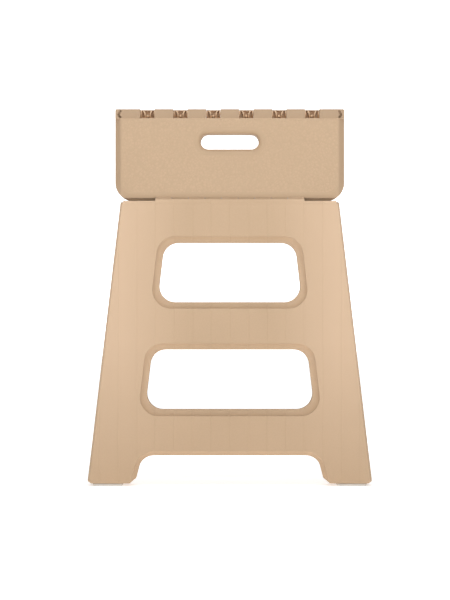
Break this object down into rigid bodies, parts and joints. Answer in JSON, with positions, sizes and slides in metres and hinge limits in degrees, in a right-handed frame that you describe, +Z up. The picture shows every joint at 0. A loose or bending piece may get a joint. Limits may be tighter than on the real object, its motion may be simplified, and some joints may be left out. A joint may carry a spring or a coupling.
{
  "type": "folding step stool",
  "caption": "Folding step stool of moulded plastic, folded flat: windowed leg panels, hinged seat halves with a hand slot, and side panels that fold between the legs.",
  "frame": {"origin": "floor level, under the middle of the folded stool", "axes": "+Z up, +X across the stool to the right seen from the front, -Y towards the front"},
  "size_m": [0.3966, 0.043, 0.5255],
  "materials": {
    "beige_plastic": "matt beige polypropylene, fine moulded grain",
    "pin_steel": "plain drawn wire",
    "pad_rubber": "matt pale rubber"
  },
  "bodies": {
    "back_leg": {"back_leg_panel": "beige_plastic", "back_seat_hinge_pin": "pin_steel", "left_back_foot_pad": "pad_rubber", "right_back_foot_pad": "pad_rubber", "left_back_side_hinge_rod": "pin_steel", "right_back_side_hinge_rod": "pin_steel"},
    "back_seat": {"back_seat_half": "beige_plastic"},
    "front_seat": {"front_seat_half": "beige_plastic"},
    "front_leg": {"front_leg_panel": "beige_plastic", "front_seat_hinge_pin": "pin_steel", "left_front_foot_pad": "pad_rubber", "right_front_foot_pad": "pad_rubber", "left_front_side_hinge_rod": "pin_steel", "right_front_side_hinge_rod": "pin_steel"},
    "left_back_side": {"left_back_side_panel": "beige_plastic", "left_lower_fold_pin": "pin_steel", "left_middle_fold_pin": "pin_steel", "left_upper_fold_pin": "pin_steel"},
    "left_front_side": {"left_front_side_panel": "beige_plastic"},
    "right_back_side": {"right_back_side_panel": "beige_plastic", "right_lower_fold_pin": "pin_steel", "right_middle_fold_pin": "pin_steel", "right_upper_fold_pin": "pin_steel"},
    "right_front_side": {"right_front_side_panel": "beige_plastic"}
  },
  "joints": [
    {"name": "fold", "type": "hinge", "parent": "back_leg", "child": "back_seat", "pos_m": [0, 0.0145, 0.401], "axis": [1, 0, 0], "range_deg": [0, 90]},
    {"name": "centre_hinge", "type": "hinge", "parent": "back_seat", "child": "front_seat", "pos_m": [0, 0, 0.5205], "axis": [1, 0, 0], "range_deg": [-180, 0]},
    {"name": "front_leg_hinge", "type": "hinge", "parent": "front_seat", "child": "front_leg", "pos_m": [0, -0.0145, 0.401], "axis": [1, 0, 0], "range_deg": [0, 90]},
    {"name": "left_back_side_hinge", "type": "hinge", "parent": "back_leg", "child": "left_back_side", "pos_m": [-0.18218, 0.0145, 0], "axis": [0.1174, 0, 0.9931], "range_deg": [-90, 0]},
    {"name": "left_middle_hinge", "type": "hinge", "parent": "left_back_side", "child": "left_front_side", "pos_m": [-0.06351, 0, -0.01403], "axis": [0.1174, 0, 0.9931], "range_deg": [0, 180]},
    {"name": "right_back_side_hinge", "type": "hinge", "parent": "back_leg", "child": "right_back_side", "pos_m": [0.18218, 0.0145, 0], "axis": [-0.1174, 0, 0.9931], "range_deg": [0, 90]},
    {"name": "right_middle_hinge", "type": "hinge", "parent": "right_back_side", "child": "right_front_side", "pos_m": [0.06351, 0, -0.01403], "axis": [-0.1174, 0, 0.9931], "range_deg": [-180, 0]}
  ],
  "couplings": [
    {"joint": "centre_hinge", "follows": "fold", "ratio": -2},
    {"joint": "front_leg_hinge", "follows": "fold", "ratio": 1},
    {"joint": "left_back_side_hinge", "follows": "fold", "ratio": -1},
    {"joint": "left_middle_hinge", "follows": "fold", "ratio": 2},
    {"joint": "right_back_side_hinge", "follows": "fold", "ratio": 1},
    {"joint": "right_middle_hinge", "follows": "fold", "ratio": -2}
  ]
}
